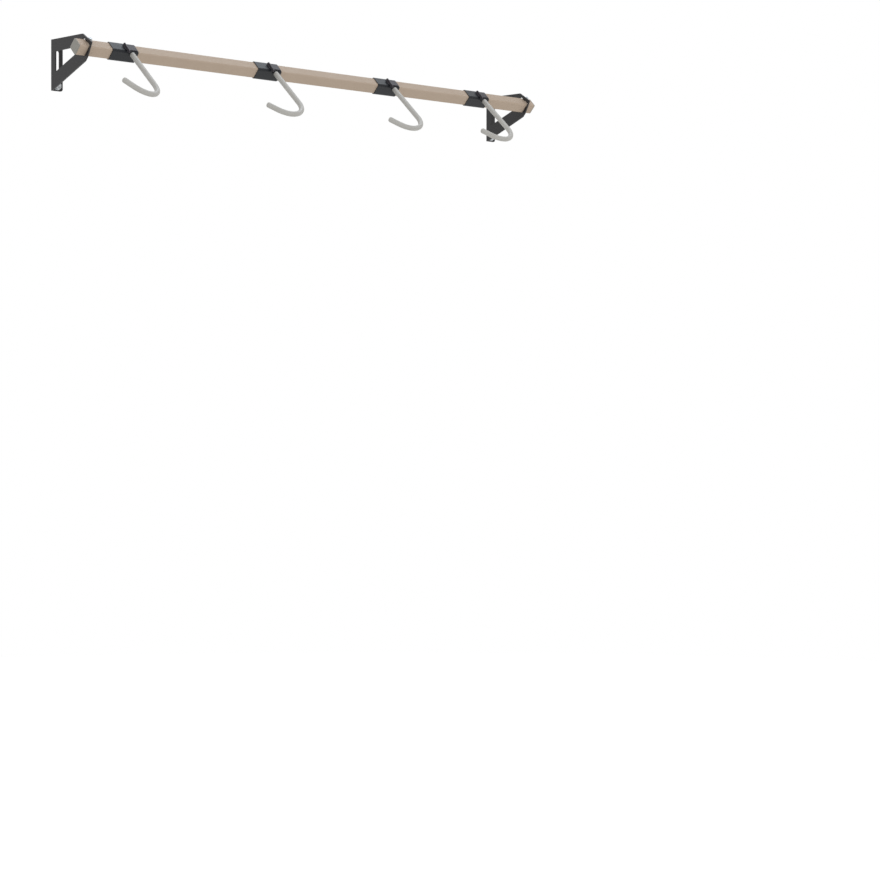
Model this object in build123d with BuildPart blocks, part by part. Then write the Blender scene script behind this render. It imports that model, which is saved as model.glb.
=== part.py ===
"""Bicycle wall rack: a square rail on two wall brackets, with four hooks that slide along it.

Millimetres. X runs along the wall, Y points into the wall, Z is up. The wall is the plane Y = 0, and the
origin is the middle of the four wall screws.
"""
import os
from math import cos, radians, sin, sqrt, tan

from build123d import *

# Wall screws: two on each bracket
screw_spacing_x = 1244.6
screw_spacing_z = 86.0
screw_shank_d = 7.9
screw_neck_d = 7.5
screw_core_d = 6.0
screw_embedment = 58.0
screw_smooth_length = 20.0
screw_point_length = 9.0
screw_thread_pitch = 3.2
screw_hex = 12.7
screw_head_height = 5.4
screw_hole_play = 0.6
hex_edge = 0.6
washer_d = 16.5
washer_thickness = 1.6

# Rail: square tube standing on one edge
rail_side = 25.4
rail_wall = 1.65
rail_corner = 3.0
rail_standoff = 127.0
rail_rise = 21.0
rail_left_stub = 20.6
rail_right_stub = 25.2

# End caps of the rail
cap_flange = 2.5
cap_plug_length = 10.0
cap_plug_wall = 1.8
cap_fit = 0.1
cap_edge = 0.6

# Wall brackets, bent from plate
plate_thickness = 3.0
bend_radius = 2.0
flange_width = 29.0
flange_corner = 5.0
flange_end_margin = 10.0
screw_inset = 15.0
slot_width = 11.5
slot_length = 64.0
rail_hole_play = 0.4
rail_notch_rise = 4.0
rail_notch_depth = 5.5
brow_setback = 6.0
brow_fall = 2.5
nose_rim = 8.5
chin_setback = 8.0
chin_drop = 3.0
heel_setback = 15.0
heel_drop = 10.0
foot_depth = 7.5
plate_corner = 2.5
window_wall_strip = 19.0
window_rail_web = 12.0
window_height = 43.0
window_front_height = 14.0
window_above_axis = 5.5
window_corner = 1.5

# Tongue of each bracket that lies on the rail, with its screw
tongue_width = 8.4
tongue_reach = 11.0
tongue_rise = 6.8
tongue_bend = 2.5
rail_screw_inset = 6.4
rail_screw_d = 4.2
rail_screw_length = 14.0
rail_screw_point = 2.5
rail_screw_taper = 35.0
rail_screw_hex = 7.0
rail_screw_head = 3.5
rail_screw_flange_d = 8.6
rail_screw_flange = 1.0
rail_screw_play = 0.1

# Hook carriers: the left end of each one, measured from the rail's left end
carrier_places = [81.5, 458.0, 799.5, 1079.0]
carrier_length = 63.5
carrier_wall = 1.5
carrier_glide = 0.35

# Saddle plate with its upright fin, welded on the carrier
saddle_thickness = 2.0
saddle_from_left = 33.8
saddle_right_inset = 2.5
saddle_top_reach = 8.5
saddle_front_reach = 11.0
fin_thickness = 3.0
fin_height = 4.0
fin_front_reach = 21.0
fin_corner = 2.5

# Hook rods with their vinyl coats: all are bent alike, and each is welded on at its own turn about its leg
rod_d = 9.5
rod_from_left = 47.5
rod_inset = 0.5
rod_lift = 3.0
rod_reach = 124.0
rod_bend_radius = 48.5
rod_bend_angle = 130.0
rod_tip_length = 19.5
rod_turns = [10.5, 0.0, 0.0, 0.0]
rod_bare_length = 2.0
vinyl_thickness = 0.9
vinyl_lip = 0.6

# Sizes that follow from those above
bracket_top = screw_spacing_z / 2 + flange_end_margin
plate_outer_x = -screw_spacing_x / 2 - screw_inset
plate_inner_x = plate_outer_x + plate_thickness
tube_left_x = plate_outer_x - rail_left_stub
tube_right_x = plate_outer_x + screw_spacing_x + rail_right_stub
rail_half = rail_side / 2
rail_tip = rail_side / sqrt(2)
carrier_half = rail_half + carrier_glide + carrier_wall
carrier_corner = rail_corner + carrier_glide + carrier_wall
saddle_right = carrier_length - saddle_right_inset
fin_top = carrier_half + saddle_thickness + fin_height
vinyl_r = rod_d / 2 + vinyl_thickness
rod_level = carrier_half - rod_inset - rod_d / 2 - carrier_half * tan(radians(rod_lift))
rail_left_x = tube_left_x - cap_flange
rail_screw_x = plate_inner_x + rail_screw_inset

# Planes: the wall, the rail's upper front face through its axis, and a cross section of the rail
wall_plane = Plane((0, 0, 0), x_dir=(1, 0, 0), z_dir=(0, -1, 0))
rail_axis = (0, -rail_standoff, rail_rise)
face_plane = Plane(rail_axis, x_dir=(1, 0, 0), z_dir=(0, -1, 1))
up_the_face = Axis(rail_axis, (0, 1, 1))


def section_plane(x):
    """Cross section at x, with its own x out of the upper front face and its own y up along that face."""
    return Plane((x, -rail_standoff, rail_rise), x_dir=(0, -1, 1), z_dir=(-1, 0, 0))


def plate_plane(x):
    """Bracket plate at x, with its own x out of the wall and its own y up, both from the rail's axis."""
    return Plane((x, -rail_standoff, rail_rise), x_dir=(0, -1, 0), z_dir=(-1, 0, 0))


def face_point(along, up, out):
    """Point given along the rail, up its upper front face and out of that face."""
    return face_plane.from_local_coords(Vector(along, up, out))


def rounded_square(side, corner):
    """Square sketch with rounded corners, joined to the sketch being built."""
    RectangleRounded(side, side, corner)


# Rail tube
with BuildPart() as rail_tube:
    with BuildSketch(section_plane(tube_right_x)):
        rounded_square(rail_side, rail_corner)
        RectangleRounded(
            rail_side - 2 * rail_wall, rail_side - 2 * rail_wall, rail_corner - rail_wall, mode=Mode.SUBTRACT
        )
    extrude(amount=tube_right_x - tube_left_x)
    with BuildSketch(face_plane):
        with Locations((rail_screw_x, tongue_rise), (rail_screw_x + screw_spacing_x, tongue_rise)):
            Circle(rail_screw_d / 2 + rail_screw_play)
    extrude(amount=rail_side, mode=Mode.SUBTRACT)

# End cap on the left: a flat head and a hollow plug
cap_plug_side = rail_side - 2 * rail_wall - 2 * cap_fit
cap_hollow_side = cap_plug_side - 2 * cap_plug_wall
cap_plug_corner = rail_corner - rail_wall
with BuildPart() as left_end_cap:
    with BuildSketch(section_plane(tube_left_x)):
        rounded_square(rail_side, rail_corner)
    extrude(amount=cap_flange)
    chamfer(faces().sort_by(Axis.X)[0].edges(), cap_edge)
    with BuildSketch(section_plane(tube_left_x)):
        rounded_square(cap_plug_side, cap_plug_corner)
        Rectangle(cap_hollow_side, cap_hollow_side, mode=Mode.SUBTRACT)
    extrude(amount=-cap_plug_length)

with BuildPart() as right_end_cap:
    mirror(left_end_cap.part, about=Plane.YZ.offset((tube_left_x + tube_right_x) / 2))

# Left wall bracket: side plate, wall flange and the tongue on the rail
plate_outline = [
    (-rail_standoff, bracket_top - rail_rise),
    (-brow_setback, bracket_top - rail_rise - brow_fall),
    (rail_tip + nose_rim, nose_rim),
    (rail_tip - chin_setback, -rail_tip - chin_drop),
    (rail_tip - heel_setback, -rail_tip - heel_drop),
    (-rail_standoff + foot_depth, -bracket_top - rail_rise),
    (-rail_standoff, -bracket_top - rail_rise),
]
window_back = -rail_standoff + window_wall_strip
window_front = -rail_tip - window_rail_web
window_outline = [
    (window_back, window_above_axis),
    (window_front, window_above_axis),
    (window_front, window_above_axis - window_front_height),
    (window_back, window_above_axis - window_height),
]
hole_low = -rail_half - rail_hole_play
hole_high = rail_half + plate_thickness

with BuildPart() as left_bracket:
    with BuildSketch(plate_plane(plate_inner_x)) as plate_sketch:
        Polygon(*plate_outline, align=None)
        fillet(plate_sketch.vertices().filter_by(lambda v: v.X > -rail_standoff / 2), plate_corner)
        with BuildSketch(mode=Mode.PRIVATE) as window_sketch:
            Polygon(*window_outline, align=None)
            fillet(window_sketch.vertices(), window_corner)
        add(window_sketch.sketch, mode=Mode.SUBTRACT)
    extrude(amount=plate_thickness)
    with BuildSketch(section_plane(plate_inner_x)):
        with Locations(((hole_low + hole_high) / 2, 0)):
            Rectangle(hole_high - hole_low, rail_side + 2 * rail_hole_play)
        with Locations((rail_half - rail_notch_depth / 2, rail_half + rail_hole_play + rail_notch_rise / 2)):
            Rectangle(rail_notch_depth, rail_notch_rise)
    extrude(amount=plate_thickness, mode=Mode.SUBTRACT)
    with BuildSketch(wall_plane) as flange_sketch:
        with Locations((plate_outer_x + flange_width / 2, 0)):
            Rectangle(flange_width, 2 * bracket_top)
        fillet(flange_sketch.vertices().group_by(Axis.X)[-1], flange_corner)
        with Locations((plate_outer_x + screw_inset, 0)):
            SlotOverall(slot_length, slot_width, rotation=90, mode=Mode.SUBTRACT)
        with Locations((plate_outer_x + screw_inset, 0)):
            with GridLocations(0, screw_spacing_z, 1, 2):
                Circle(screw_shank_d / 2 + screw_hole_play, mode=Mode.SUBTRACT)
    extrude(amount=plate_thickness)
    upright = edges().filter_by(Axis.Z)
    fillet(upright.sort_by_distance((plate_inner_x, -plate_thickness, 0))[0], bend_radius)
    upright = edges().filter_by(Axis.Z)
    fillet(upright.sort_by_distance((plate_outer_x, 0, 0))[0], bend_radius + plate_thickness)
    with BuildSketch(face_plane.offset(rail_half)):
        with Locations((plate_outer_x + (plate_thickness + tongue_reach) / 2, tongue_rise)):
            Rectangle(plate_thickness + tongue_reach, tongue_width)
        with Locations((rail_screw_x, tongue_rise)):
            Circle(rail_screw_d / 2 + rail_screw_play, mode=Mode.SUBTRACT)
    extrude(amount=plate_thickness)
    bend_inside = face_point(plate_inner_x, tongue_rise, rail_half + plate_thickness)
    slanted = edges().filter_by(up_the_face)
    fillet(slanted.sort_by_distance(bend_inside)[0], bend_radius)
    bend_outside = face_point(plate_outer_x, tongue_rise, rail_half)
    slanted = edges().filter_by(up_the_face)
    fillet(slanted.sort_by_distance(bend_outside)[0], tongue_bend)

# The right bracket is a second copy of the same pressing
with BuildPart() as right_bracket:
    with Locations((screw_spacing_x, 0, 0)):
        add(left_bracket.part)

# Hex washer screw that holds the rail to the tongue
screw_seat = face_plane.offset(rail_half + plate_thickness)
with BuildPart() as rail_screw_left:
    with BuildSketch(screw_seat):
        with Locations((rail_screw_x, tongue_rise)):
            Circle(rail_screw_flange_d / 2)
    extrude(amount=rail_screw_flange)
    with BuildSketch(screw_seat.offset(rail_screw_flange)):
        with Locations((rail_screw_x, tongue_rise)):
            RegularPolygon(rail_screw_hex / 2, 6, major_radius=False)
    extrude(amount=rail_screw_head)
    head_level = rail_half + plate_thickness + rail_screw_flange + rail_screw_head
    head_top = face_point(rail_screw_x, tongue_rise, head_level)
    chamfer(faces().sort_by_distance(head_top)[0].edges(), hex_edge)
    with BuildSketch(screw_seat):
        with Locations((rail_screw_x, tongue_rise)):
            Circle(rail_screw_d / 2)
    extrude(amount=-(rail_screw_length - rail_screw_point))
    with BuildSketch(screw_seat.offset(rail_screw_point - rail_screw_length)):
        with Locations((rail_screw_x, tongue_rise)):
            Circle(rail_screw_d / 2)
    extrude(amount=-rail_screw_point, taper=rail_screw_taper)

with BuildPart() as rail_screw_right:
    with Locations((screw_spacing_x, 0, 0)):
        add(rail_screw_left.part)

# Lag screw, drawn on the Y axis with the wall at Y = 0, and its washer
head_seat = plate_thickness + washer_thickness
neck_r = screw_neck_d / 2
shank_r = screw_shank_d / 2
core_r = screw_core_d / 2
thread_end = screw_embedment - screw_point_length
thread_count = int((thread_end - screw_smooth_length) / screw_thread_pitch)
with BuildPart() as lag_screw:
    with BuildSketch() as screw_sketch:
        with BuildLine():
            profile = [(0, -head_seat), (neck_r, -head_seat), (neck_r, 0), (shank_r, 0)]
            profile.append((shank_r, screw_smooth_length))
            for turn in range(thread_count):
                root = screw_smooth_length + turn * screw_thread_pitch
                profile.append((core_r, root + screw_thread_pitch * 0.3))
                profile.append((core_r, root + screw_thread_pitch * 0.6))
                profile.append((shank_r, root + screw_thread_pitch * 0.95))
                profile.append((shank_r, root + screw_thread_pitch))
            profile.append((core_r, thread_end))
            profile.append((0, screw_embedment))
            Polyline(*profile, close=True)
        make_face()
    revolve(axis=Axis.Y)
    with BuildSketch(wall_plane.offset(head_seat)):
        RegularPolygon(screw_hex / 2, 6, major_radius=False)
    extrude(amount=screw_head_height)
    chamfer(faces().sort_by(Axis.Y)[0].edges(), hex_edge)

with BuildPart() as wall_washer:
    with BuildSketch(wall_plane.offset(plate_thickness)):
        Circle(washer_d / 2)
        Circle(shank_r + screw_hole_play, mode=Mode.SUBTRACT)
    extrude(amount=washer_thickness)

# Hook carrier: a sleeve with its left end at X = 0
with BuildPart() as carrier_body:
    with BuildSketch(section_plane(carrier_length)):
        rounded_square(2 * carrier_half, carrier_corner)
    extrude(amount=carrier_length)

with BuildPart() as hook_carrier:
    add(carrier_body.part)
    with BuildSketch(section_plane(carrier_length)):
        rounded_square(rail_side + 2 * carrier_glide, rail_corner + carrier_glide)
    extrude(amount=carrier_length, mode=Mode.SUBTRACT)

# Saddle plate on the carrier's upper front face, with a flat bar on edge along its left side as a fin
with BuildPart() as hook_saddle:
    with BuildSketch(face_plane.offset(carrier_half)):
        with Locations(((saddle_from_left + saddle_right) / 2, (saddle_top_reach - saddle_front_reach) / 2)):
            Rectangle(saddle_right - saddle_from_left, saddle_top_reach + saddle_front_reach)
    extrude(amount=saddle_thickness)
    with BuildSketch(face_plane.offset(carrier_half)):
        with Locations((saddle_from_left + fin_thickness / 2, (saddle_top_reach - fin_front_reach) / 2)):
            Rectangle(fin_thickness, saddle_top_reach + fin_front_reach)
    extrude(amount=fin_top - carrier_half)
    fin_corners = (
        face_point(saddle_from_left, saddle_top_reach, fin_top),
        face_point(saddle_from_left, -fin_front_reach, fin_top),
        face_point(saddle_from_left, -fin_front_reach, carrier_half),
    )
    for corner in fin_corners:
        across = edges().filter_by(Axis.X)
        fillet(across.sort_by_distance(corner)[0], fin_corner)

# Rod: its leg leaves the carrier's lower front face, and it then bends towards the left into a hook
leg_plane = Plane(face_point(rod_from_left, 0, rod_level), x_dir=(1, 0, 0), z_dir=face_plane.z_dir)
leg_plane = leg_plane.rotated((-rod_lift, 0, 0))
leg_axis = Axis(leg_plane.origin, leg_plane.y_dir)
bend_sin = sin(radians(rod_bend_angle))
bend_cos = cos(radians(rod_bend_angle))
bend_end = (rod_bend_radius * (bend_cos - 1), -rod_reach - rod_bend_radius * bend_sin)
rod_tip = (bend_end[0] - rod_tip_length * bend_sin, bend_end[1] - rod_tip_length * bend_cos)


def hook_path(first):
    """Route of the rod on a plane whose Y axis is the leg, from a distance in front of the rail to the tip."""
    Line((0, -first), (0, -rod_reach))
    CenterArc((-rod_bend_radius, -rod_reach), rod_bend_radius, 0, -rod_bend_angle)
    Line(bend_end, rod_tip)


def coated_rod(turn):
    """Rod and its vinyl coat, turned about the leg by the given angle."""
    across_leg = leg_plane.x_dir.rotate(leg_axis, turn)
    hook_plane = Plane(leg_plane.origin, x_dir=across_leg, z_dir=leg_plane.z_dir.rotate(leg_axis, turn))
    with BuildPart() as hook_rod:
        with BuildLine(hook_plane) as rod_route:
            hook_path(carrier_half - carrier_corner)
        with BuildSketch(Plane(rod_route.wire() @ 0, z_dir=rod_route.wire() % 0)):
            Circle(rod_d / 2)
        sweep(path=rod_route.wire())
        add(carrier_body.part, mode=Mode.SUBTRACT)
    with BuildPart() as hook_vinyl:
        with BuildLine(hook_plane) as vinyl_route:
            hook_path(carrier_half + rod_bare_length)
        with BuildSketch(Plane(vinyl_route.wire() @ 0, z_dir=vinyl_route.wire() % 0)):
            Circle(vinyl_r)
        sweep(path=vinyl_route.wire())
        rims = edges().filter_by(GeomType.CIRCLE)
        chamfer(rims.sort_by_distance(vinyl_route.wire() @ 0)[0], vinyl_lip)
        with Locations(vinyl_route.wire() @ 1):
            Sphere(vinyl_r)
        add(hook_rod.part, mode=Mode.SUBTRACT)
    return hook_rod.part, hook_vinyl.part


# Files, one for each node
def write_node(part, name):
    """Label a finished piece and write it as one STEP file."""
    part.label = name
    export_step(part, "parts/" + name + ".step")


os.makedirs("parts", exist_ok=True)
write_node(rail_tube.part, "rail_tube")
write_node(left_end_cap.part, "left_end_cap")
write_node(right_end_cap.part, "right_end_cap")
write_node(left_bracket.part, "left_bracket")
write_node(right_bracket.part, "right_bracket")
write_node(rail_screw_left.part, "left_rail_screw")
write_node(rail_screw_right.part, "right_rail_screw")

for side, side_x in (("left", -screw_spacing_x / 2), ("right", screw_spacing_x / 2)):
    with BuildPart() as wall_screws:
        with Locations((side_x, 0, screw_spacing_z / 2), (side_x, 0, -screw_spacing_z / 2)):
            add(lag_screw.part)
    write_node(wall_screws.part, side + "_wall_screws")
    with BuildPart() as wall_washers:
        with Locations((side_x, 0, screw_spacing_z / 2), (side_x, 0, -screw_spacing_z / 2)):
            add(wall_washer.part)
    write_node(wall_washers.part, side + "_wall_washers")

for number, (place, turn) in enumerate(zip(carrier_places, rod_turns), start=1):
    rod, vinyl = coated_rod(turn)
    hook_pieces = {"carrier": hook_carrier.part, "saddle": hook_saddle.part, "rod": rod, "vinyl": vinyl}
    for piece_name, piece in hook_pieces.items():
        with BuildPart() as hook_piece:
            with Locations((rail_left_x + place, 0, 0)):
                add(piece)
        write_node(hook_piece.part, "hook_" + str(number) + "_" + piece_name)
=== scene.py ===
"""Looks of a bicycle wall rack with four sliding hooks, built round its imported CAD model, in metres.

X runs along the wall, Y points into the wall and Z is up. The rail is a square tube that stands on one edge.
"""
from math import cos, pi, radians, sin, sqrt, tan

import bmesh
import bpy
from mathutils import Matrix, Vector


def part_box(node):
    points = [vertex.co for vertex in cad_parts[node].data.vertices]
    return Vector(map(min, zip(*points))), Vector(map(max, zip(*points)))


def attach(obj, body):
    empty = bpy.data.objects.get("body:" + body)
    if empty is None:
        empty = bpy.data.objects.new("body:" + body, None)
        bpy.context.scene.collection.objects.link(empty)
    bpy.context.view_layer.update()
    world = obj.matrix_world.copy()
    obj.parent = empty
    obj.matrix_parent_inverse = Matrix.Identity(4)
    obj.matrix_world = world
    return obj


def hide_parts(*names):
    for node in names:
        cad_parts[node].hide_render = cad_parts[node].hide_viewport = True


bl_info = {
    "name": "Bicycle wall rack",
    "version": (1, 0, 0),
    "blender": (4, 5, 0),
    "location": "3D View > Sidebar > Rack",
    "description": "Dresses the CAD model of a wall rack with four sliding hooks",
    "category": "Add Mesh",
}

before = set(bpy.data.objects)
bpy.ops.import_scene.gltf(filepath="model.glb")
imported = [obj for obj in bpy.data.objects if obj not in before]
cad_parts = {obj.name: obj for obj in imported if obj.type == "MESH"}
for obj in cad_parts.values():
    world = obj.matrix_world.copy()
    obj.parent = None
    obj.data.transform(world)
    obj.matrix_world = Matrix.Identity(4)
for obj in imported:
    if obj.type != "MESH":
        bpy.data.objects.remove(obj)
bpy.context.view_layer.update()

MM = 0.001
SIDES = ("left", "right")
HOOKS = (1, 2, 3, 4)
ROOT_BODY = "wall_rail"
RAIL_COAT = "champagne_powder_coat"
BRACKET_COAT = "black_powder_coat_on_plate"
CARRIER_COAT = "black_powder_coat_on_hooks"
# The saddles and their welds wear the carriers' black coat; their paler, purplish grey is painted light
SADDLE_COAT_PAINTED_PALER = "black_powder_coat_on_saddles_painted_paler"
VINYL = "dipped_grey_plastisol_vinyl"
ZINC = "bright_zinc_plated_steel"
CAP_PLASTIC = "moulded_grey_polyethylene"
WHITE = (1.0, 1.0, 1.0, 1.0)

# Degrees over which an edge stays sharp, on screws and on beads and coats
SCREW_SHARP = 28
ROUND_SHARP = 60

# The rail's axis, and the directions up along its upper front face and out of that face
rail_low, rail_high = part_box("rail_tube")
AXIS_Y = (rail_low.y + rail_high.y) / 2
AXIS_Z = (rail_low.z + rail_high.z) / 2
UP_FACE = Vector((0, 1, 1)).normalized()
OUT_FACE = Vector((0, -1, 1)).normalized()


def face_point(along, up, out):
    """Point given along the rail, up its upper front face and out of that face, from the rail's axis."""
    return Vector((along, AXIS_Y, AXIS_Z)) + up * UP_FACE + out * OUT_FACE


# Hook geometry that the CAD model has, measured from the carrier's left end and the rail's axis
CARRIER_HALF = 14.55 * MM
CARRIER_CORNER = 4.85 * MM
SADDLE_LEFT = 33.8 * MM
SADDLE_TOP = 8.5 * MM
ROD_RADIUS = 4.75 * MM
ROD_FROM_LEFT = 47.5 * MM
ROD_INSET = 0.5 * MM
ROD_LIFT = radians(3)
ROD_REACH = 124.0 * MM
BEND_RADIUS = 48.5 * MM
BEND_ANGLE = radians(130)
TIP_LENGTH = 19.5 * MM
VINYL_START = 16.55 * MM
ROD_TURNS = {1: radians(10.5), 2: 0.0, 3: 0.0, 4: 0.0}

# The rod's leg leaves the carrier just under its upper front face and a little above square to its lower one
ROD_LEVEL = CARRIER_HALF - ROD_INSET - ROD_RADIUS - CARRIER_HALF * tan(ROD_LIFT)
LEG_WAY = sin(ROD_LIFT) * OUT_FACE - cos(ROD_LIFT) * UP_FACE
ALONG_RAIL = Vector((1, 0, 0))
OVER_LEG = cos(ROD_LIFT) * OUT_FACE + sin(ROD_LIFT) * UP_FACE


def linear(hex_colour):
    """Linear RGBA of an sRGB hex colour."""
    channels = []
    for first in (1, 3, 5):
        value = int(hex_colour[first:first + 2], 16) / 255
        channels.append(value / 12.92 if value <= 0.04045 else ((value + 0.055) / 1.055) ** 2.4)
    return (*channels, 1.0)


def paler(tint, factor):
    """Colour that is lighter by a factor."""
    return tuple(min(1.0, channel * factor) for channel in tint)


def length(name, description, default_mm):
    """Length property that is written in millimetres and kept in metres."""
    return bpy.props.FloatProperty(
        name=name, description=description, default=default_mm * MM, unit="LENGTH", precision=5
    )


def colour(name, description, hex_colour):
    """Colour property that is written as an sRGB hex value."""
    return bpy.props.FloatVectorProperty(
        name=name, description=description, default=linear(hex_colour), size=4, subtype="COLOR", min=0, max=1
    )


class RackSizes(bpy.types.PropertyGroup):
    """Sizes of the details that the looks add to the CAD model."""

    plate_edge: length("Plate edge", "Round on the cut edges of brackets and saddles under their coat", 0.5)
    tube_edge: length("Tube edge", "Round on the cut ends of the rail and the carriers", 0.35)
    cap_edge: length("Cap edge", "Round on the edges of the moulded end caps", 0.4)
    washer_edge: length("Washer edge", "Round on the stamped edges of the washers", 0.25)
    bead_radius: length("Weld bead", "Radius of the weld beads", 1.2)
    root_bead: length("Root weld bead", "Radius of the weld bead round the foot of a hook's rod", 1.3)
    bead_ripple: length("Weld ripple", "Spacing of the ripples along a weld bead", 1.9)
    rod_radius: length("Rod radius", "Radius of the bare hook rod", ROD_RADIUS / MM)
    vinyl_radius: length("Vinyl radius", "Radius of the vinyl coat over the rod", 5.65)
    vinyl_lip: length("Vinyl lip", "Round on the edge where the vinyl coat starts", 0.7)
    vinyl_drip: length("Vinyl drip", "How much thicker the dipped coat gets towards the tip", 0.2)
    lag_shank: length("Lag screw shank", "Radius of the lag screw's shank and of its thread crests", 3.95)
    lag_neck: length("Lag screw neck", "Radius of the lag screw's neck under its head", 3.75)
    lag_core: length("Lag screw core", "Radius of the lag screw between its threads", 2.9)
    lag_pitch: length("Lag screw pitch", "Spacing of the lag screw's threads", 3.2)
    lag_hex: length("Lag screw hex", "Width across flats of the lag screw's head", 12.7)
    rail_screw_hex: length("Rail screw hex", "Width across flats of the rail screw's head", 7.0)


class RackFinishes(bpy.types.PropertyGroup):
    """Colours of the finishes."""

    rail: colour("Rail coat", "Champagne powder coat of the rail", "#bfac9a")
    rail_flake: colour("Rail flake", "Paler flakes in the rail's powder coat", "#cebfad")
    bracket: colour("Bracket coat", "Black powder coat of the brackets", "#212022")
    carrier: colour("Carrier coat", "Black powder coat of the hooks' carriers and rods", "#14171d")
    # Painted light: the saddles and their welds share the carriers' black coat, painted a paler, purplish
    # grey for how their faces catch the light
    saddle: colour("Saddle coat", "Greyer black powder coat of the hooks' saddles and welds", "#423f44")
    vinyl: colour("Vinyl", "Grey vinyl dip of the hooks", "#b6b4af")
    vinyl_pale: colour("Vinyl bloom", "Paler patches of the vinyl dip", "#c2c1bd")
    zinc: colour("Zinc", "Bright zinc plating of the screws and washers", "#c4c9cd")
    zinc_dull: colour("Zinc bloom", "Duller patches of the zinc plating", "#a9abac")
    cap: colour("Cap plastic", "Moulded plastic of the rail's end caps", "#93918a")
    floor: colour("Floor", "Plain pale floor", "#e6e5e2")


def add_node(tree, kind, inputs=(), **settings):
    """Add a node with its settings, link the inputs that are given a socket and set the others."""
    node = tree.nodes.new(kind)
    for name, value in settings.items():
        setattr(node, name, value)
    for name, value in dict(inputs).items():
        if isinstance(value, bpy.types.NodeSocket):
            tree.links.new(value, node.inputs[name])
        else:
            node.inputs[name].default_value = value
    return node


def per_metre(size_mm):
    """Texture scale at which one feature of a pattern is this many millimetres wide."""
    return 1000 / size_mm


def new_material(name):
    """New material with an empty node tree, and the coordinates on the piece that its patterns follow."""
    material = bpy.data.materials.new(name)
    material.use_nodes = True
    tree = material.node_tree
    tree.nodes.clear()
    place = add_node(tree, "ShaderNodeTexCoord").outputs["Object"]
    return material, tree, place


def finish_material(tree, shader):
    """Link the finished shader to the material's output."""
    add_node(tree, "ShaderNodeOutputMaterial", {"Surface": shader.outputs[0]})


def flaked(tree, place, base, flake, flake_share):
    """Colour of a coat with paler flakes, which lie thicker in some patches than in others."""
    # Flakes are under half a millimetre, and are drawn at one millimetre so that they show
    flakes = add_node(tree, "ShaderNodeTexVoronoi", {"Vector": place, "Scale": per_metre(1.0)})
    patches = add_node(tree, "ShaderNodeTexNoise", {"Vector": place, "Scale": per_metre(45), "Detail": 3.0})
    spread = add_node(
        tree, "ShaderNodeMath", {0: flakes.outputs["Color"], 1: patches.outputs["Fac"]}, operation="MULTIPLY"
    )
    share = add_node(tree, "ShaderNodeMath", {0: spread.outputs[0], 1: flake_share}, operation="MULTIPLY")
    tint = add_node(
        tree, "ShaderNodeMix", {"Factor": share.outputs[0], "A": base, "B": flake}, data_type="RGBA"
    )
    return tint.outputs["Result"]


def powder_coat(name, base, roughness, specular, flake=None, flake_share=0.0):
    """Polyester powder, sprayed and baked: satin, with the soft ripple of orange peel and a fine grain."""
    material, tree, place = new_material(name)
    tint = base
    if flake is not None:
        tint = flaked(tree, place, base, flake, flake_share)
    # Carriers and hands rub the coat along the rail, which leaves long faint streaks in its gloss
    streaks = add_node(
        tree, "ShaderNodeMapping", {"Vector": place, "Scale": (per_metre(160), per_metre(3), per_metre(3))}
    )
    rubs = add_node(tree, "ShaderNodeTexNoise", {"Vector": streaks.outputs[0], "Scale": 1.0, "Detail": 4.0})
    gloss = add_node(
        tree,
        "ShaderNodeMapRange",
        {"Value": rubs.outputs["Fac"], "To Min": roughness - 0.05, "To Max": roughness + 0.07},
    )
    peel = add_node(tree, "ShaderNodeTexNoise", {"Vector": place, "Scale": per_metre(2.6), "Detail": 1.0})
    grain = add_node(tree, "ShaderNodeTexNoise", {"Vector": place, "Scale": per_metre(0.7), "Detail": 2.0})
    ripple = add_node(
        tree, "ShaderNodeBump", {"Height": peel.outputs["Fac"], "Distance": 0.06 * MM, "Strength": 0.6}
    )
    surface = add_node(
        tree,
        "ShaderNodeBump",
        {
            "Height": grain.outputs["Fac"],
            "Distance": 0.02 * MM,
            "Strength": 0.5,
            "Normal": ripple.outputs["Normal"],
        },
    )
    coat = add_node(
        tree,
        "ShaderNodeBsdfPrincipled",
        {
            "Base Color": tint,
            "Specular IOR Level": specular,
            "Roughness": gloss.outputs["Result"],
            "Normal": surface.outputs["Normal"],
        },
    )
    finish_material(tree, coat)
    return material


def dipped_vinyl(finishes):
    """Plastisol vinyl, dipped and cured: soft, half matt, with a faint bloom and shallow dimples."""
    material, tree, place = new_material(VINYL)
    bloom = add_node(tree, "ShaderNodeTexNoise", {"Vector": place, "Scale": per_metre(18), "Detail": 4.0})
    tint = add_node(
        tree,
        "ShaderNodeMix",
        {"Factor": bloom.outputs["Fac"], "A": finishes.vinyl, "B": finishes.vinyl_pale},
        data_type="RGBA",
    )
    gloss = add_node(
        tree, "ShaderNodeMapRange", {"Value": bloom.outputs["Fac"], "To Min": 0.40, "To Max": 0.56}
    )
    dimples = add_node(tree, "ShaderNodeTexNoise", {"Vector": place, "Scale": per_metre(3.5), "Detail": 2.0})
    surface = add_node(
        tree, "ShaderNodeBump", {"Height": dimples.outputs["Fac"], "Distance": 0.12 * MM, "Strength": 0.5}
    )
    vinyl = add_node(
        tree,
        "ShaderNodeBsdfPrincipled",
        {
            "Base Color": tint.outputs["Result"],
            "Roughness": gloss.outputs["Result"],
            "IOR": 1.53,
            "Normal": surface.outputs["Normal"],
        },
    )
    finish_material(tree, vinyl)
    return material


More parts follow.
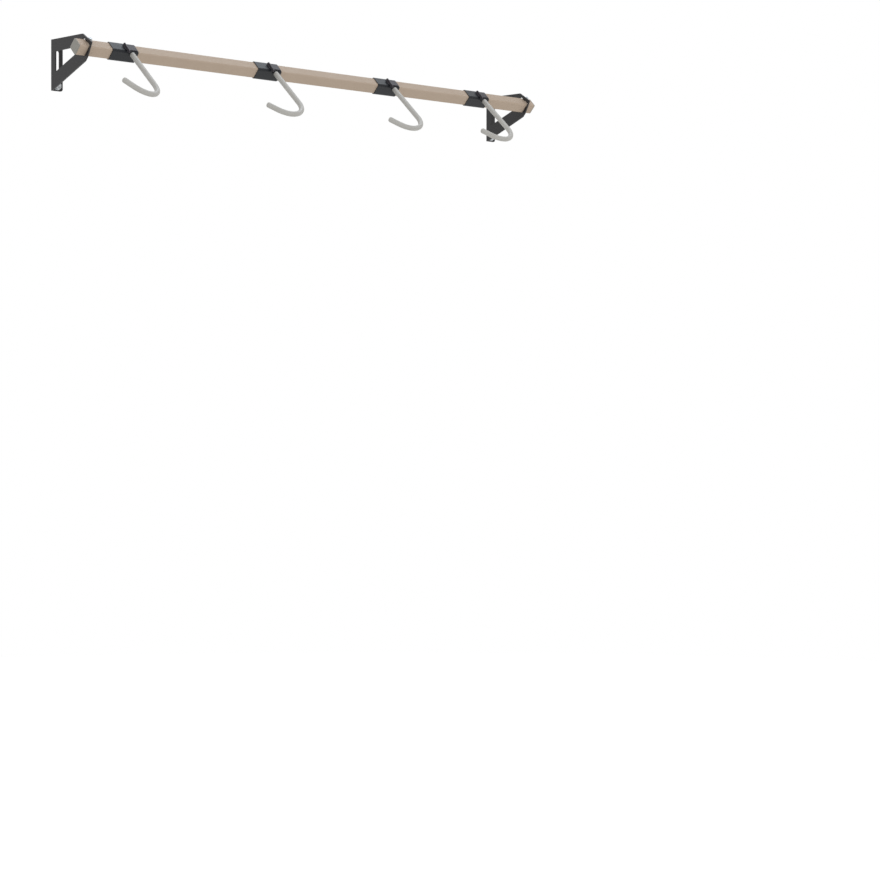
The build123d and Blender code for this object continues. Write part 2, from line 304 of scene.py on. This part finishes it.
def zinc_plating(finishes):
    """Steel with bright zinc plating: blue white metal with a cloudy bloom and fine tumbling marks."""
    material, tree, place = new_material(ZINC)
    clouds = add_node(tree, "ShaderNodeTexNoise", {"Vector": place, "Scale": per_metre(5), "Detail": 5.0})
    tint = add_node(
        tree,
        "ShaderNodeMix",
        {"Factor": clouds.outputs["Fac"], "A": finishes.zinc, "B": finishes.zinc_dull},
        data_type="RGBA",
    )
    gloss = add_node(
        tree, "ShaderNodeMapRange", {"Value": clouds.outputs["Fac"], "To Min": 0.24, "To Max": 0.42}
    )
    marks = add_node(tree, "ShaderNodeTexNoise", {"Vector": place, "Scale": per_metre(0.8), "Detail": 3.0})
    surface = add_node(
        tree, "ShaderNodeBump", {"Height": marks.outputs["Fac"], "Distance": 0.03 * MM, "Strength": 0.4}
    )
    plating = add_node(
        tree,
        "ShaderNodeBsdfPrincipled",
        {
            "Base Color": tint.outputs["Result"],
            "Metallic": 1.0,
            "Roughness": gloss.outputs["Result"],
            "Normal": surface.outputs["Normal"],
        },
    )
    finish_material(tree, plating)
    return material


def moulded_cap_plastic(finishes):
    """Polyethylene, injection moulded: half matt, with the fine spark texture of its mould."""
    material, tree, place = new_material(CAP_PLASTIC)
    clouds = add_node(tree, "ShaderNodeTexNoise", {"Vector": place, "Scale": per_metre(9), "Detail": 3.0})
    tint = add_node(
        tree,
        "ShaderNodeMix",
        {"Factor": clouds.outputs["Fac"], "A": finishes.cap, "B": paler(finishes.cap, 1.12)},
        data_type="RGBA",
    )
    spark = add_node(tree, "ShaderNodeTexNoise", {"Vector": place, "Scale": per_metre(0.5), "Detail": 2.0})
    gloss = add_node(
        tree, "ShaderNodeMapRange", {"Value": spark.outputs["Fac"], "To Min": 0.46, "To Max": 0.60}
    )
    surface = add_node(
        tree, "ShaderNodeBump", {"Height": spark.outputs["Fac"], "Distance": 0.03 * MM, "Strength": 0.5}
    )
    plastic = add_node(
        tree,
        "ShaderNodeBsdfPrincipled",
        {
            "Base Color": tint.outputs["Result"],
            "Roughness": gloss.outputs["Result"],
            "IOR": 1.51,
            "Normal": surface.outputs["Normal"],
        },
    )
    finish_material(tree, plastic)
    return material


def finish_of(context, name):
    """Material of a finish, made when it is first asked for."""
    if name in bpy.data.materials:
        return bpy.data.materials[name]
    finishes = context.scene.rack_finishes
    if name == RAIL_COAT:
        return powder_coat(
            name, finishes.rail, roughness=0.5, specular=0.18, flake=finishes.rail_flake, flake_share=0.7
        )
    if name == BRACKET_COAT:
        return powder_coat(name, finishes.bracket, roughness=0.45, specular=0.4)
    if name == CARRIER_COAT:
        return powder_coat(name, finishes.carrier, roughness=0.38, specular=0.32)
    # The carriers' black coat painted paler on the saddles and their welds, as painted light
    if name == SADDLE_COAT_PAINTED_PALER:
        return powder_coat(name, finishes.saddle, roughness=0.40, specular=0.21)
    if name == VINYL:
        return dipped_vinyl(finishes)
    if name == ZINC:
        return zinc_plating(finishes)
    if name == CAP_PLASTIC:
        return moulded_cap_plastic(finishes)
    raise ValueError("no finish is named " + name)


def rounded_copy(node, name, edge):
    """Copy of a CAD node with its flat faces merged and its sharp edges rounded."""
    work = bmesh.new()
    work.from_mesh(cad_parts[node].data)
    bmesh.ops.remove_doubles(work, verts=work.verts, dist=0.001 * MM)
    bmesh.ops.dissolve_limit(work, angle_limit=radians(0.5), verts=work.verts, edges=work.edges)
    for face in work.faces:
        face.smooth = True
    for line in work.edges:
        line.smooth = True
    mesh = bpy.data.meshes.new(name)
    work.to_mesh(mesh)
    work.free()
    if "custom_normal" in mesh.attributes:
        mesh.attributes.remove(mesh.attributes["custom_normal"])
    piece = bpy.data.objects.new(name, mesh)
    bpy.context.scene.collection.objects.link(piece)
    rounding = piece.modifiers.new("rounded edges", "BEVEL")
    rounding.width = edge
    rounding.segments = 3
    rounding.limit_method = "ANGLE"
    rounding.angle_limit = radians(40)
    rounding.harden_normals = True
    piece.modifiers.new("flat faces stay flat", "WEIGHTED_NORMAL").keep_sharp = True
    return piece


def lofted(work, rings, closed=False):
    """Skin rings of equally many points in a mesh that is being built, and cap both ends if it is open."""
    rows = [[work.verts.new(point) for point in ring] for ring in rings]
    pairs = list(zip(rows, rows[1:]))
    if closed:
        pairs.append((rows[-1], rows[0]))
    for near, far in pairs:
        for i in range(len(near)):
            j = (i + 1) % len(near)
            work.faces.new((near[i], near[j], far[j], far[i]))
    if not closed:
        work.faces.new(reversed(rows[0]))
        work.faces.new(rows[-1])


def finished_mesh(work, name, sharp_angle):
    """New object from a mesh that was being built, smooth except at edges sharper than some degrees."""
    bmesh.ops.recalc_face_normals(work, faces=work.faces)
    for face in work.faces:
        face.smooth = True
    mesh = bpy.data.meshes.new(name)
    work.to_mesh(mesh)
    work.free()
    mesh.set_sharp_from_angle(angle=radians(sharp_angle))
    piece = bpy.data.objects.new(name, mesh)
    bpy.context.scene.collection.objects.link(piece)
    return piece


def dress(context, piece, finish, slot, body, *nodes):
    """Give a piece its finish, let it ride on its body, and let it stand for CAD nodes; the slot is not
    used.
    """
    piece.data.materials.clear()
    piece.data.materials.append(finish_of(context, finish))
    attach(piece, body)
    if nodes:
        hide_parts(*nodes)


def hex_radius(angle, across_flats):
    """Distance from the middle of a hexagon to its side at that angle."""
    sector = pi / 3
    return across_flats / 2 / cos((angle + sector / 2) % sector - sector / 2)


def screw_ring(place, height, radius, count=48):
    """Ring of points round a screw's axis; height and radius are lengths or functions of the angle."""
    ring = []
    for i in range(count):
        angle = 2 * pi * i / count
        reach = radius(angle) if callable(radius) else radius
        rise = height(angle) if callable(height) else height
        ring.append(place @ Vector((reach * cos(angle), reach * sin(angle), rise)))
    return ring


def hex_head_rings(place, foot, top, across_flats, dish):
    """Rings of a hexagon head with its corners turned to a cone, and a shallow dish in its top."""
    crown = 0.94 * across_flats / 2
    dish_rim = 0.72 * crown
    dish_floor = 0.60 * crown
    dish_middle = 0.10 * crown
    corner_slope = tan(radians(30))

    def side(angle):
        return hex_radius(angle, across_flats)

    def shoulder(angle):
        return top - (hex_radius(angle, across_flats) - crown) * corner_slope

    return [
        screw_ring(place, foot, side),
        screw_ring(place, shoulder, side),
        screw_ring(place, top, crown),
        screw_ring(place, top, dish_rim),
        screw_ring(place, top - dish, dish_floor),
        screw_ring(place, top - dish, dish_middle),
    ]


def thread_rings(place, tip, start, core, crest, pitch, point):
    """Rings of a thread that winds from its tip up to its start, with a tapered point."""
    rings_per_turn = 10
    tip_share = 0.12
    ridge_half_width = 0.30
    steps = int((start - tip) / pitch * rings_per_turn)
    rings = []
    for step in range(steps):
        height = tip + (start - tip) * step / steps
        taper = min(1.0, tip_share + (1 - tip_share) * (height - tip) / point)
        fade = min(1.0, (start - height) / pitch)

        def radius(angle, height=height, taper=taper, fade=fade):
            turn = (height / pitch - angle / (2 * pi)) % 1.0
            ridge = max(0.0, 1 - abs(turn - 0.5) / ridge_half_width)
            return (core + (crest - core) * ridge) * taper * fade + crest * (1 - fade)

        rings.append(screw_ring(place, height, radius))
    return rings


def bead_rings(line, radius, ripple, closed=False):
    """Rings of a weld bead along a line of points, with ripples and, unless it is closed, rounded ends."""
    sides = 12
    ripple_share = 0.10
    blunt_end = 0.02
    askew = Vector((0.3, 0.5, 0.81))
    rings = []
    travelled = 0.0
    total = sum((b - a).length for a, b in zip(line, line[1:]))
    count = len(line)
    for i, point in enumerate(line):
        before = line[i - 1] if (closed or i > 0) else line[i]
        after = line[(i + 1) % count] if (closed or i < count - 1) else line[i]
        if i > 0:
            travelled += (point - line[i - 1]).length
        ahead = (after - before).normalized()
        side = ahead.cross(askew).normalized()
        over = side.cross(ahead)
        wave = 1 + ripple_share * abs(sin(pi * travelled / ripple))
        to_end = min(travelled, total - travelled)
        ending = 1.0 if closed else sqrt(max(blunt_end, 1 - max(0.0, 1 - to_end / radius) ** 2))
        reach = radius * wave * ending
        angles = [2 * pi * k / sides for k in range(sides)]
        rings.append([point + reach * (cos(angle) * side + sin(angle) * over) for angle in angles])
    return rings


def hook_left(number):
    """Where the left end of a hook's carrier stands along the rail."""
    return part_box(f"hook_{number}_carrier")[0].x


def hook_axes(number):
    """Directions square to a hook's leg, in its own bend and out of it, after its turn about the leg."""
    turn = ROD_TURNS[number]
    across = cos(turn) * ALONG_RAIL - sin(turn) * OVER_LEG
    normal = cos(turn) * OVER_LEG + sin(turn) * ALONG_RAIL
    return across, normal


def hook_route(number):
    """Centre line of the vinyl coat, as pairs of a point and its direction, up to the rod's end."""
    leg_foot = face_point(hook_left(number) + ROD_FROM_LEFT, 0, ROD_LEVEL)
    across = hook_axes(number)[0]

    def place(aside, gone, heading):
        direction = heading[0] * across + heading[1] * LEG_WAY
        return leg_foot + aside * across + gone * LEG_WAY, direction

    spacing = 5.0 * MM
    leg = ROD_REACH - VINYL_START
    leg_steps = int(leg / spacing)
    route = [place(0, VINYL_START + leg * i / leg_steps, (0, 1)) for i in range(leg_steps)]
    bend_steps = 34
    for i in range(bend_steps):
        turn = BEND_ANGLE * i / bend_steps
        aside = BEND_RADIUS * (cos(turn) - 1)
        route.append(place(aside, ROD_REACH + BEND_RADIUS * sin(turn), (-sin(turn), cos(turn))))
    heading = (-sin(BEND_ANGLE), cos(BEND_ANGLE))
    last = (BEND_RADIUS * (cos(BEND_ANGLE) - 1), ROD_REACH + BEND_RADIUS * sin(BEND_ANGLE))
    tip_steps = int(TIP_LENGTH / spacing)
    for i in range(tip_steps + 1):
        gone = TIP_LENGTH * i / tip_steps
        route.append(place(last[0] + gone * heading[0], last[1] + gone * heading[1], heading))
    return route


def route_ring(point, direction, normal, radius, count=32):
    """Ring of points round a hook's centre line."""
    across = direction.cross(normal)
    return [
        point + radius * (cos(2 * pi * k / count) * normal + sin(2 * pi * k / count) * across)
        for k in range(count)
    ]


class AddRail(bpy.types.Operator):
    """Add the coated rail."""

    bl_idname = "rack.add_rail"
    bl_label = "Add Rail"

    def execute(self, context):
        rail = rounded_copy("rail_tube", "rail_coated", context.scene.rack_sizes.tube_edge)
        dress(context, rail, RAIL_COAT, "rail_powder_coat", ROOT_BODY, "rail_tube")
        return {"FINISHED"}


class AddEndCaps(bpy.types.Operator):
    """Add the moulded caps in both ends of the rail."""

    bl_idname = "rack.add_end_caps"
    bl_label = "Add End Caps"

    def execute(self, context):
        for side in SIDES:
            node = f"{side}_end_cap"
            cap = rounded_copy(node, f"{node}_moulded", context.scene.rack_sizes.cap_edge)
            dress(context, cap, CAP_PLASTIC, "cap_plastic", ROOT_BODY, node)
        return {"FINISHED"}


class AddBrackets(bpy.types.Operator):
    """Add both coated wall brackets."""

    bl_idname = "rack.add_brackets"
    bl_label = "Add Wall Brackets"

    def execute(self, context):
        for side in SIDES:
            node = f"{side}_bracket"
            bracket = rounded_copy(node, f"{node}_coated", context.scene.rack_sizes.plate_edge)
            dress(context, bracket, BRACKET_COAT, "black_powder_coat", ROOT_BODY, node)
        return {"FINISHED"}


class AddRailScrews(bpy.types.Operator):
    """Add the hex washer screws that hold the rail to the brackets' tongues."""

    bl_idname = "rack.add_rail_screws"
    bl_label = "Add Rail Screws"

    def execute(self, context):
        sizes = context.scene.rack_sizes
        seat = 15.7 * MM
        rise = 6.8 * MM
        tip = -14.0 * MM
        thread_start = -3.2 * MM
        shank = 2.05 * MM
        core = 0.72 * shank
        pitch = 1.4 * MM
        point = 2.5 * MM
        dish = 0.5 * MM
        flange = 4.3 * MM
        flange_rim = 0.5 * MM
        flange_top = 1.0 * MM
        flange_crown = 0.9 * flange
        head_top = 4.5 * MM
        across = UP_FACE.cross(OUT_FACE)
        turn = Matrix((across, UP_FACE, OUT_FACE)).transposed().to_4x4()
        for side in SIDES:
            node = f"{side}_rail_screw"
            low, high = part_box(node)
            place = Matrix.Translation(face_point((low.x + high.x) / 2, rise, seat)) @ turn
            rings = thread_rings(place, tip, thread_start, core, shank, pitch, point)
            rings.append(screw_ring(place, 0, shank))
            rings.append(screw_ring(place, 0, flange))
            rings.append(screw_ring(place, flange_rim, flange))
            rings.append(screw_ring(place, flange_top, flange_crown))
            rings += hex_head_rings(place, flange_top, head_top, sizes.rail_screw_hex, dish)
            work = bmesh.new()
            lofted(work, rings)
            screw = finished_mesh(work, f"{node}_threaded", SCREW_SHARP)
            dress(context, screw, ZINC, "zinc_plate", ROOT_BODY, node)
        return {"FINISHED"}


class AddWallScrews(bpy.types.Operator):
    """Add the lag screws with their washers in both wall brackets."""

    bl_idname = "rack.add_wall_screws"
    bl_label = "Add Wall Screws"

    def execute(self, context):
        sizes = context.scene.rack_sizes
        tip = -58.0 * MM
        thread_start = -20.0 * MM
        point = 11.0 * MM
        head_foot = 4.6 * MM
        head_top = 10.0 * MM
        dish = 0.35 * MM
        turn = Matrix(((1, 0, 0), (0, 0, -1), (0, 1, 0))).to_4x4()
        for side in SIDES:
            node = f"{side}_wall_screws"
            washers = f"{side}_wall_washers"
            low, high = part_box(washers)
            washer_radius = (high.x - low.x) / 2
            work = bmesh.new()
            for height in (low.z + washer_radius, high.z - washer_radius):
                place = Matrix.Translation(((low.x + high.x) / 2, 0, height)) @ turn
                rings = thread_rings(
                    place, tip, thread_start, sizes.lag_core, sizes.lag_shank, sizes.lag_pitch, point
                )
                rings.append(screw_ring(place, thread_start, sizes.lag_shank))
                rings.append(screw_ring(place, 0, sizes.lag_shank))
                rings.append(screw_ring(place, 0, sizes.lag_neck))
                rings.append(screw_ring(place, head_foot, sizes.lag_neck))
                rings += hex_head_rings(place, head_foot, head_top, sizes.lag_hex, dish)
                lofted(work, rings)
            screws = finished_mesh(work, f"{node}_threaded", SCREW_SHARP)
            dress(context, screws, ZINC, "zinc_plate", ROOT_BODY, node)
            rings_of_steel = rounded_copy(washers, f"{washers}_plated", sizes.washer_edge)
            dress(context, rings_of_steel, ZINC, "zinc_plate", ROOT_BODY, washers)
        return {"FINISHED"}


class AddCarriers(bpy.types.Operator):
    """Add the hooks' carriers with their saddle plates and weld beads."""

    bl_idname = "rack.add_carriers"
    bl_label = "Add Hook Carriers"

    def execute(self, context):
        sizes = context.scene.rack_sizes
        top_bead_left = 5 * MM
        top_bead_right = 4 * MM
        fin_bead_low = -8 * MM
        fin_bead_high = 7 * MM
        for number in HOOKS:
            body = f"hook_{number}"
            carrier = rounded_copy(f"{body}_carrier", f"{body}_carrier_coated", sizes.tube_edge)
            dress(context, carrier, CARRIER_COAT, "black_powder_coat", body, f"{body}_carrier")
            saddle = rounded_copy(f"{body}_saddle", f"{body}_saddle_coated", sizes.plate_edge)
            dress(context, saddle, SADDLE_COAT_PAINTED_PALER, "black_powder_coat", body, f"{body}_saddle")
            left_x = hook_left(number)
            right_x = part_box(f"{body}_carrier")[1].x
            step = sizes.bead_ripple / 4
            work = bmesh.new()
            lines = [
                (
                    face_point(left_x + SADDLE_LEFT + top_bead_left, SADDLE_TOP, CARRIER_HALF),
                    face_point(right_x - top_bead_right, SADDLE_TOP, CARRIER_HALF),
                ),
                (
                    face_point(left_x + SADDLE_LEFT, fin_bead_low, CARRIER_HALF),
                    face_point(left_x + SADDLE_LEFT, fin_bead_high, CARRIER_HALF),
                ),
            ]
            for start, end in lines:
                count = int((end - start).length / step)
                line = [start.lerp(end, i / count) for i in range(count + 1)]
                lofted(work, bead_rings(line, sizes.bead_radius, sizes.bead_ripple))
            welds = finished_mesh(work, f"{body}_saddle_welds", ROUND_SHARP)
            dress(context, welds, SADDLE_COAT_PAINTED_PALER, "black_powder_coat", body)
        return {"FINISHED"}


class AddHookRods(bpy.types.Operator):
    """Add the hooks' rods with their dipped vinyl coats and root welds."""

    bl_idname = "rack.add_hook_rods"
    bl_label = "Add Hook Rods"

    def execute(self, context):
        sizes = context.scene.rack_sizes
        for number in HOOKS:
            body = f"hook_{number}"
            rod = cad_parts[f"{body}_rod"]
            rod.data.materials.clear()
            rod.data.materials.append(finish_of(context, CARRIER_COAT))
            self.add_vinyl(context, sizes, number)
            self.add_root_weld(context, sizes, number)
        return {"FINISHED"}

    def add_vinyl(self, context, sizes, number):
        """Coat that is hollow round the rod, a little thicker towards its tip, with a blunt round end."""
        body = f"hook_{number}"
        route = hook_route(number)
        normal = hook_axes(number)[1]
        rings = [route_ring(*spot, normal, sizes.rod_radius) for spot in reversed(route)]
        start, ahead = route[0]
        lip_steps = 5
        for i in range(lip_steps):
            turn = pi / 2 * i / (lip_steps - 1)
            reach = sizes.vinyl_radius - sizes.vinyl_lip * (1 - sin(turn))
            lip_point = start + ahead * sizes.vinyl_lip * (1 - cos(turn))
            rings.append(route_ring(lip_point, ahead, normal, reach))
        unevenness = 0.05 * MM
        quick_wave = 1.7
        slow_wave = 0.6
        for i, (point, direction) in enumerate(route[1:], start=1):
            share = i / (len(route) - 1)
            sag = unevenness * sin(quick_wave * i) * sin(slow_wave * i + 1)
            reach = sizes.vinyl_radius + sizes.vinyl_drip * share ** 4 + sag
            rings.append(route_ring(point, direction, normal, reach))
        end, outward = route[-1]
        widest = sizes.vinyl_radius + sizes.vinyl_drip
        dome = sizes.vinyl_radius
        dome_steps = 9
        last_step = 0.15
        shoulder_power = 2.6
        nose_power = 2.2
        for i in range(1, dome_steps + 1):
            gone = i / (dome_steps + last_step)
            reach = widest * (1 - gone ** shoulder_power) ** (1 / nose_power)
            rings.append(route_ring(end + outward * dome * gone, outward, normal, reach))
        work = bmesh.new()
        lofted(work, rings)
        coat = finished_mesh(work, f"{body}_vinyl_dipped", ROUND_SHARP)
        dress(context, coat, VINYL, "grey_vinyl", body, f"{body}_vinyl")

    def add_root_weld(self, context, sizes, number):
        """Bead round the rod where it meets the carrier's lower front face and the round of its corner."""
        body = f"hook_{number}"
        rod_x = hook_left(number) + ROD_FROM_LEFT
        count = 48
        clearance = 0.3 * MM
        reach = sizes.rod_radius + clearance
        flat = CARRIER_HALF - CARRIER_CORNER
        foot_level = ROD_LEVEL + CARRIER_HALF * tan(ROD_LIFT)
        line = []
        for i in range(count):
            turn = 2 * pi * i / count
            level = foot_level + reach * cos(turn)
            over = min(max(0.0, level - flat), CARRIER_CORNER)
            drop = CARRIER_CORNER - sqrt(CARRIER_CORNER ** 2 - over ** 2)
            line.append(face_point(rod_x + reach * sin(turn), drop - CARRIER_HALF, level))
        work = bmesh.new()
        lofted(work, bead_rings(line, sizes.root_bead, sizes.bead_ripple, closed=True), closed=True)
        weld = finished_mesh(work, f"{body}_rod_weld", ROUND_SHARP)
        dress(context, weld, CARRIER_COAT, "black_powder_coat", body)


class SetStage(bpy.types.Operator):
    """Set the floor, the wall, the light, the white background and the camera."""

    bl_idname = "rack.set_stage"
    bl_label = "Set Stage"

    def execute(self, context):
        scene = context.scene
        scene.view_settings.view_transform = "Standard"
        self.add_floor(context)
        self.add_wall(scene)
        self.set_world(scene)
        self.add_lamps(scene)
        self.add_camera(scene)
        return {"FINISHED"}

    def seen_directly(self, tree):
        """One for rays from the camera, and for those that come by way of a mirror or through glass."""
        rays = add_node(tree, "ShaderNodeLightPath")
        first = add_node(
            tree,
            "ShaderNodeMath",
            {0: rays.outputs["Is Camera Ray"], 1: rays.outputs["Is Glossy Ray"]},
            operation="MAXIMUM",
        )
        both = add_node(
            tree,
            "ShaderNodeMath",
            {0: first.outputs[0], 1: rays.outputs["Is Transmission Ray"]},
            operation="MAXIMUM",
        )
        return both.outputs[0]

    def clear_from_behind(self, tree, front):
        """Shader that shows the front of a sheet, and lets what is beyond show where its back is seen."""
        clear = add_node(tree, "ShaderNodeBsdfTransparent")
        face = add_node(tree, "ShaderNodeNewGeometry")
        return add_node(
            tree,
            "ShaderNodeMixShader",
            {"Fac": face.outputs["Backfacing"], 1: front.outputs[0], 2: clear.outputs[0]},
        )

    def add_floor(self, context):
        """Plain pale floor that keeps shadows, white where the camera sees it lit and clear from below."""
        radius = 7.0
        height = -1.9
        count = 96
        mesh = bpy.data.meshes.new("floor")
        angles = [2 * pi * i / count for i in range(count)]
        rim = [(radius * cos(angle), radius * sin(angle), height) for angle in angles]
        mesh.from_pydata(rim, [], [list(range(count))])
        floor = bpy.data.objects.new("floor", mesh)
        context.scene.collection.objects.link(floor)
        material, tree, place = new_material("matt_pale_floor")
        mottle = add_node(tree, "ShaderNodeTexNoise", {"Vector": place, "Scale": per_metre(400)})
        pale = context.scene.rack_finishes.floor
        tint = add_node(
            tree,
            "ShaderNodeMix",
            {"Factor": mottle.outputs["Fac"], "A": pale, "B": paler(pale, 1.03)},
            data_type="RGBA",
        )
        matt = add_node(tree, "ShaderNodeBsdfDiffuse", {"Color": tint.outputs["Result"]})
        lift = add_node(tree, "ShaderNodeEmission", {"Color": WHITE, "Strength": 0.6})
        lifted = add_node(tree, "ShaderNodeAddShader", {0: matt.outputs[0], 1: lift.outputs[0]})
        shown = add_node(
            tree,
            "ShaderNodeMixShader",
            {"Fac": self.seen_directly(tree), 1: matt.outputs[0], 2: lifted.outputs[0]},
        )
        finish_material(tree, self.clear_from_behind(tree, shown))
        mesh.materials.append(material)

    def add_wall(self, scene):
        """Plain white wall that the screws go into: seen only by the camera, and only from its front."""
        # It ends just outside the brackets, so that it doesn't hide the screws' shanks from the sides
        half_width = 0.67
        half_height = 0.2
        behind = 0.2 * MM
        mesh = bpy.data.meshes.new("wall")
        signs = ((-1, -1), (1, -1), (1, 1), (-1, 1))
        corners = [(x * half_width, behind, z * half_height) for x, z in signs]
        mesh.from_pydata(corners, [], [(0, 1, 2, 3)])
        wall = bpy.data.objects.new("wall", mesh)
        scene.collection.objects.link(wall)
        wall.visible_diffuse = False
        wall.visible_glossy = False
        wall.visible_transmission = False
        wall.visible_shadow = False
        material, tree = new_material("white_wall")[:2]
        white = add_node(tree, "ShaderNodeEmission", {"Color": WHITE, "Strength": 1.0})
        finish_material(tree, self.clear_from_behind(tree, white))
        mesh.materials.append(material)

    def set_world(self, scene):
        """Even white surroundings that light the rack softly, and are plain white where they are seen."""
        world = bpy.data.worlds.new("white_studio")
        world.use_nodes = True
        tree = world.node_tree
        tree.nodes.clear()
        light = add_node(tree, "ShaderNodeBackground", {"Color": WHITE, "Strength": 0.72})
        white = add_node(tree, "ShaderNodeBackground", {"Color": WHITE, "Strength": 1.0})
        shown = add_node(
            tree,
            "ShaderNodeMixShader",
            {"Fac": self.seen_directly(tree), 1: light.outputs[0], 2: white.outputs[0]},
        )
        add_node(tree, "ShaderNodeOutputWorld", {"Surface": shown.outputs[0]})
        scene.world = world

    def add_lamps(self, scene):
        """Large soft lamps: a key, a fill from below with no gloss, and a cool one that is only gloss."""
        target = Vector((0, AXIS_Y, AXIS_Z))
        neutral = WHITE[:3]
        cool = (0.80, 0.90, 1.0)
        lamps = (
            ("key_softbox", Vector((-2.2, -3.2, 2.2)), 2.4, 8.0, neutral, True, True),
            ("fill_softbox", Vector((0.4, -3.2, -1.4)), 2.4, 14.0, neutral, True, False),
            ("gloss_softbox", Vector((0.9, 0.3, 2.4)), 2.2, 24.0, cool, False, True),
        )
        for name, spot, size, power, tint, lights_matt_faces, shows_as_gloss in lamps:
            lamp = bpy.data.lights.new(name, "AREA")
            lamp.size = size
            lamp.energy = power
            lamp.color = tint
            holder = bpy.data.objects.new(name, lamp)
            holder.location = spot
            holder.rotation_euler = (target - spot).to_track_quat("-Z", "Y").to_euler()
            holder.visible_camera = False
            holder.visible_diffuse = lights_matt_faces
            holder.visible_glossy = shows_as_gloss
            scene.collection.objects.link(holder)

    def add_camera(self, scene):
        """Level camera, below the rail and to the left of it, that looks along the rack."""
        camera = bpy.data.cameras.new("camera")
        camera.sensor_width = 36.0
        camera.lens = 96.3
        camera.clip_end = 100.0
        holder = bpy.data.objects.new("camera", camera)
        holder.location = (-3.3224, -4.191, -0.782)
        holder.rotation_euler = (radians(90), 0, radians(-42.05))
        scene.collection.objects.link(holder)
        scene.camera = holder


class RackPanel(bpy.types.Panel):
    """Steps that dress the rack."""

    bl_idname = "VIEW3D_PT_bicycle_wall_rack"
    bl_label = "Bicycle Wall Rack"
    bl_space_type = "VIEW_3D"
    bl_region_type = "UI"
    bl_category = "Rack"

    def draw(self, context):
        layout = self.layout
        for group in (context.scene.rack_sizes, context.scene.rack_finishes):
            box = layout.box()
            for name in group.bl_rna.properties.keys():
                if name not in ("rna_type", "name"):
                    box.prop(group, name)
        for step in STEPS:
            layout.operator(step.bl_idname)


STEPS = (
    AddRail,
    AddEndCaps,
    AddBrackets,
    AddRailScrews,
    AddWallScrews,
    AddCarriers,
    AddHookRods,
    SetStage,
)
CLASSES = (RackSizes, RackFinishes, *STEPS, RackPanel)


def register():
    """Register the classes and give every scene the rack's properties."""
    for one in CLASSES:
        bpy.utils.register_class(one)
    bpy.types.Scene.rack_sizes = bpy.props.PointerProperty(type=RackSizes)
    bpy.types.Scene.rack_finishes = bpy.props.PointerProperty(type=RackFinishes)


def unregister():
    """Take the properties and classes away again."""
    del bpy.types.Scene.rack_finishes
    del bpy.types.Scene.rack_sizes
    for one in reversed(CLASSES):
        bpy.utils.unregister_class(one)


def main():
    """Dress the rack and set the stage."""
    register()
    bpy.ops.rack.add_rail()
    bpy.ops.rack.add_end_caps()
    bpy.ops.rack.add_brackets()
    bpy.ops.rack.add_rail_screws()
    bpy.ops.rack.add_wall_screws()
    bpy.ops.rack.add_carriers()
    bpy.ops.rack.add_hook_rods()
    bpy.ops.rack.set_stage()


if __name__ == "__main__":
    main()
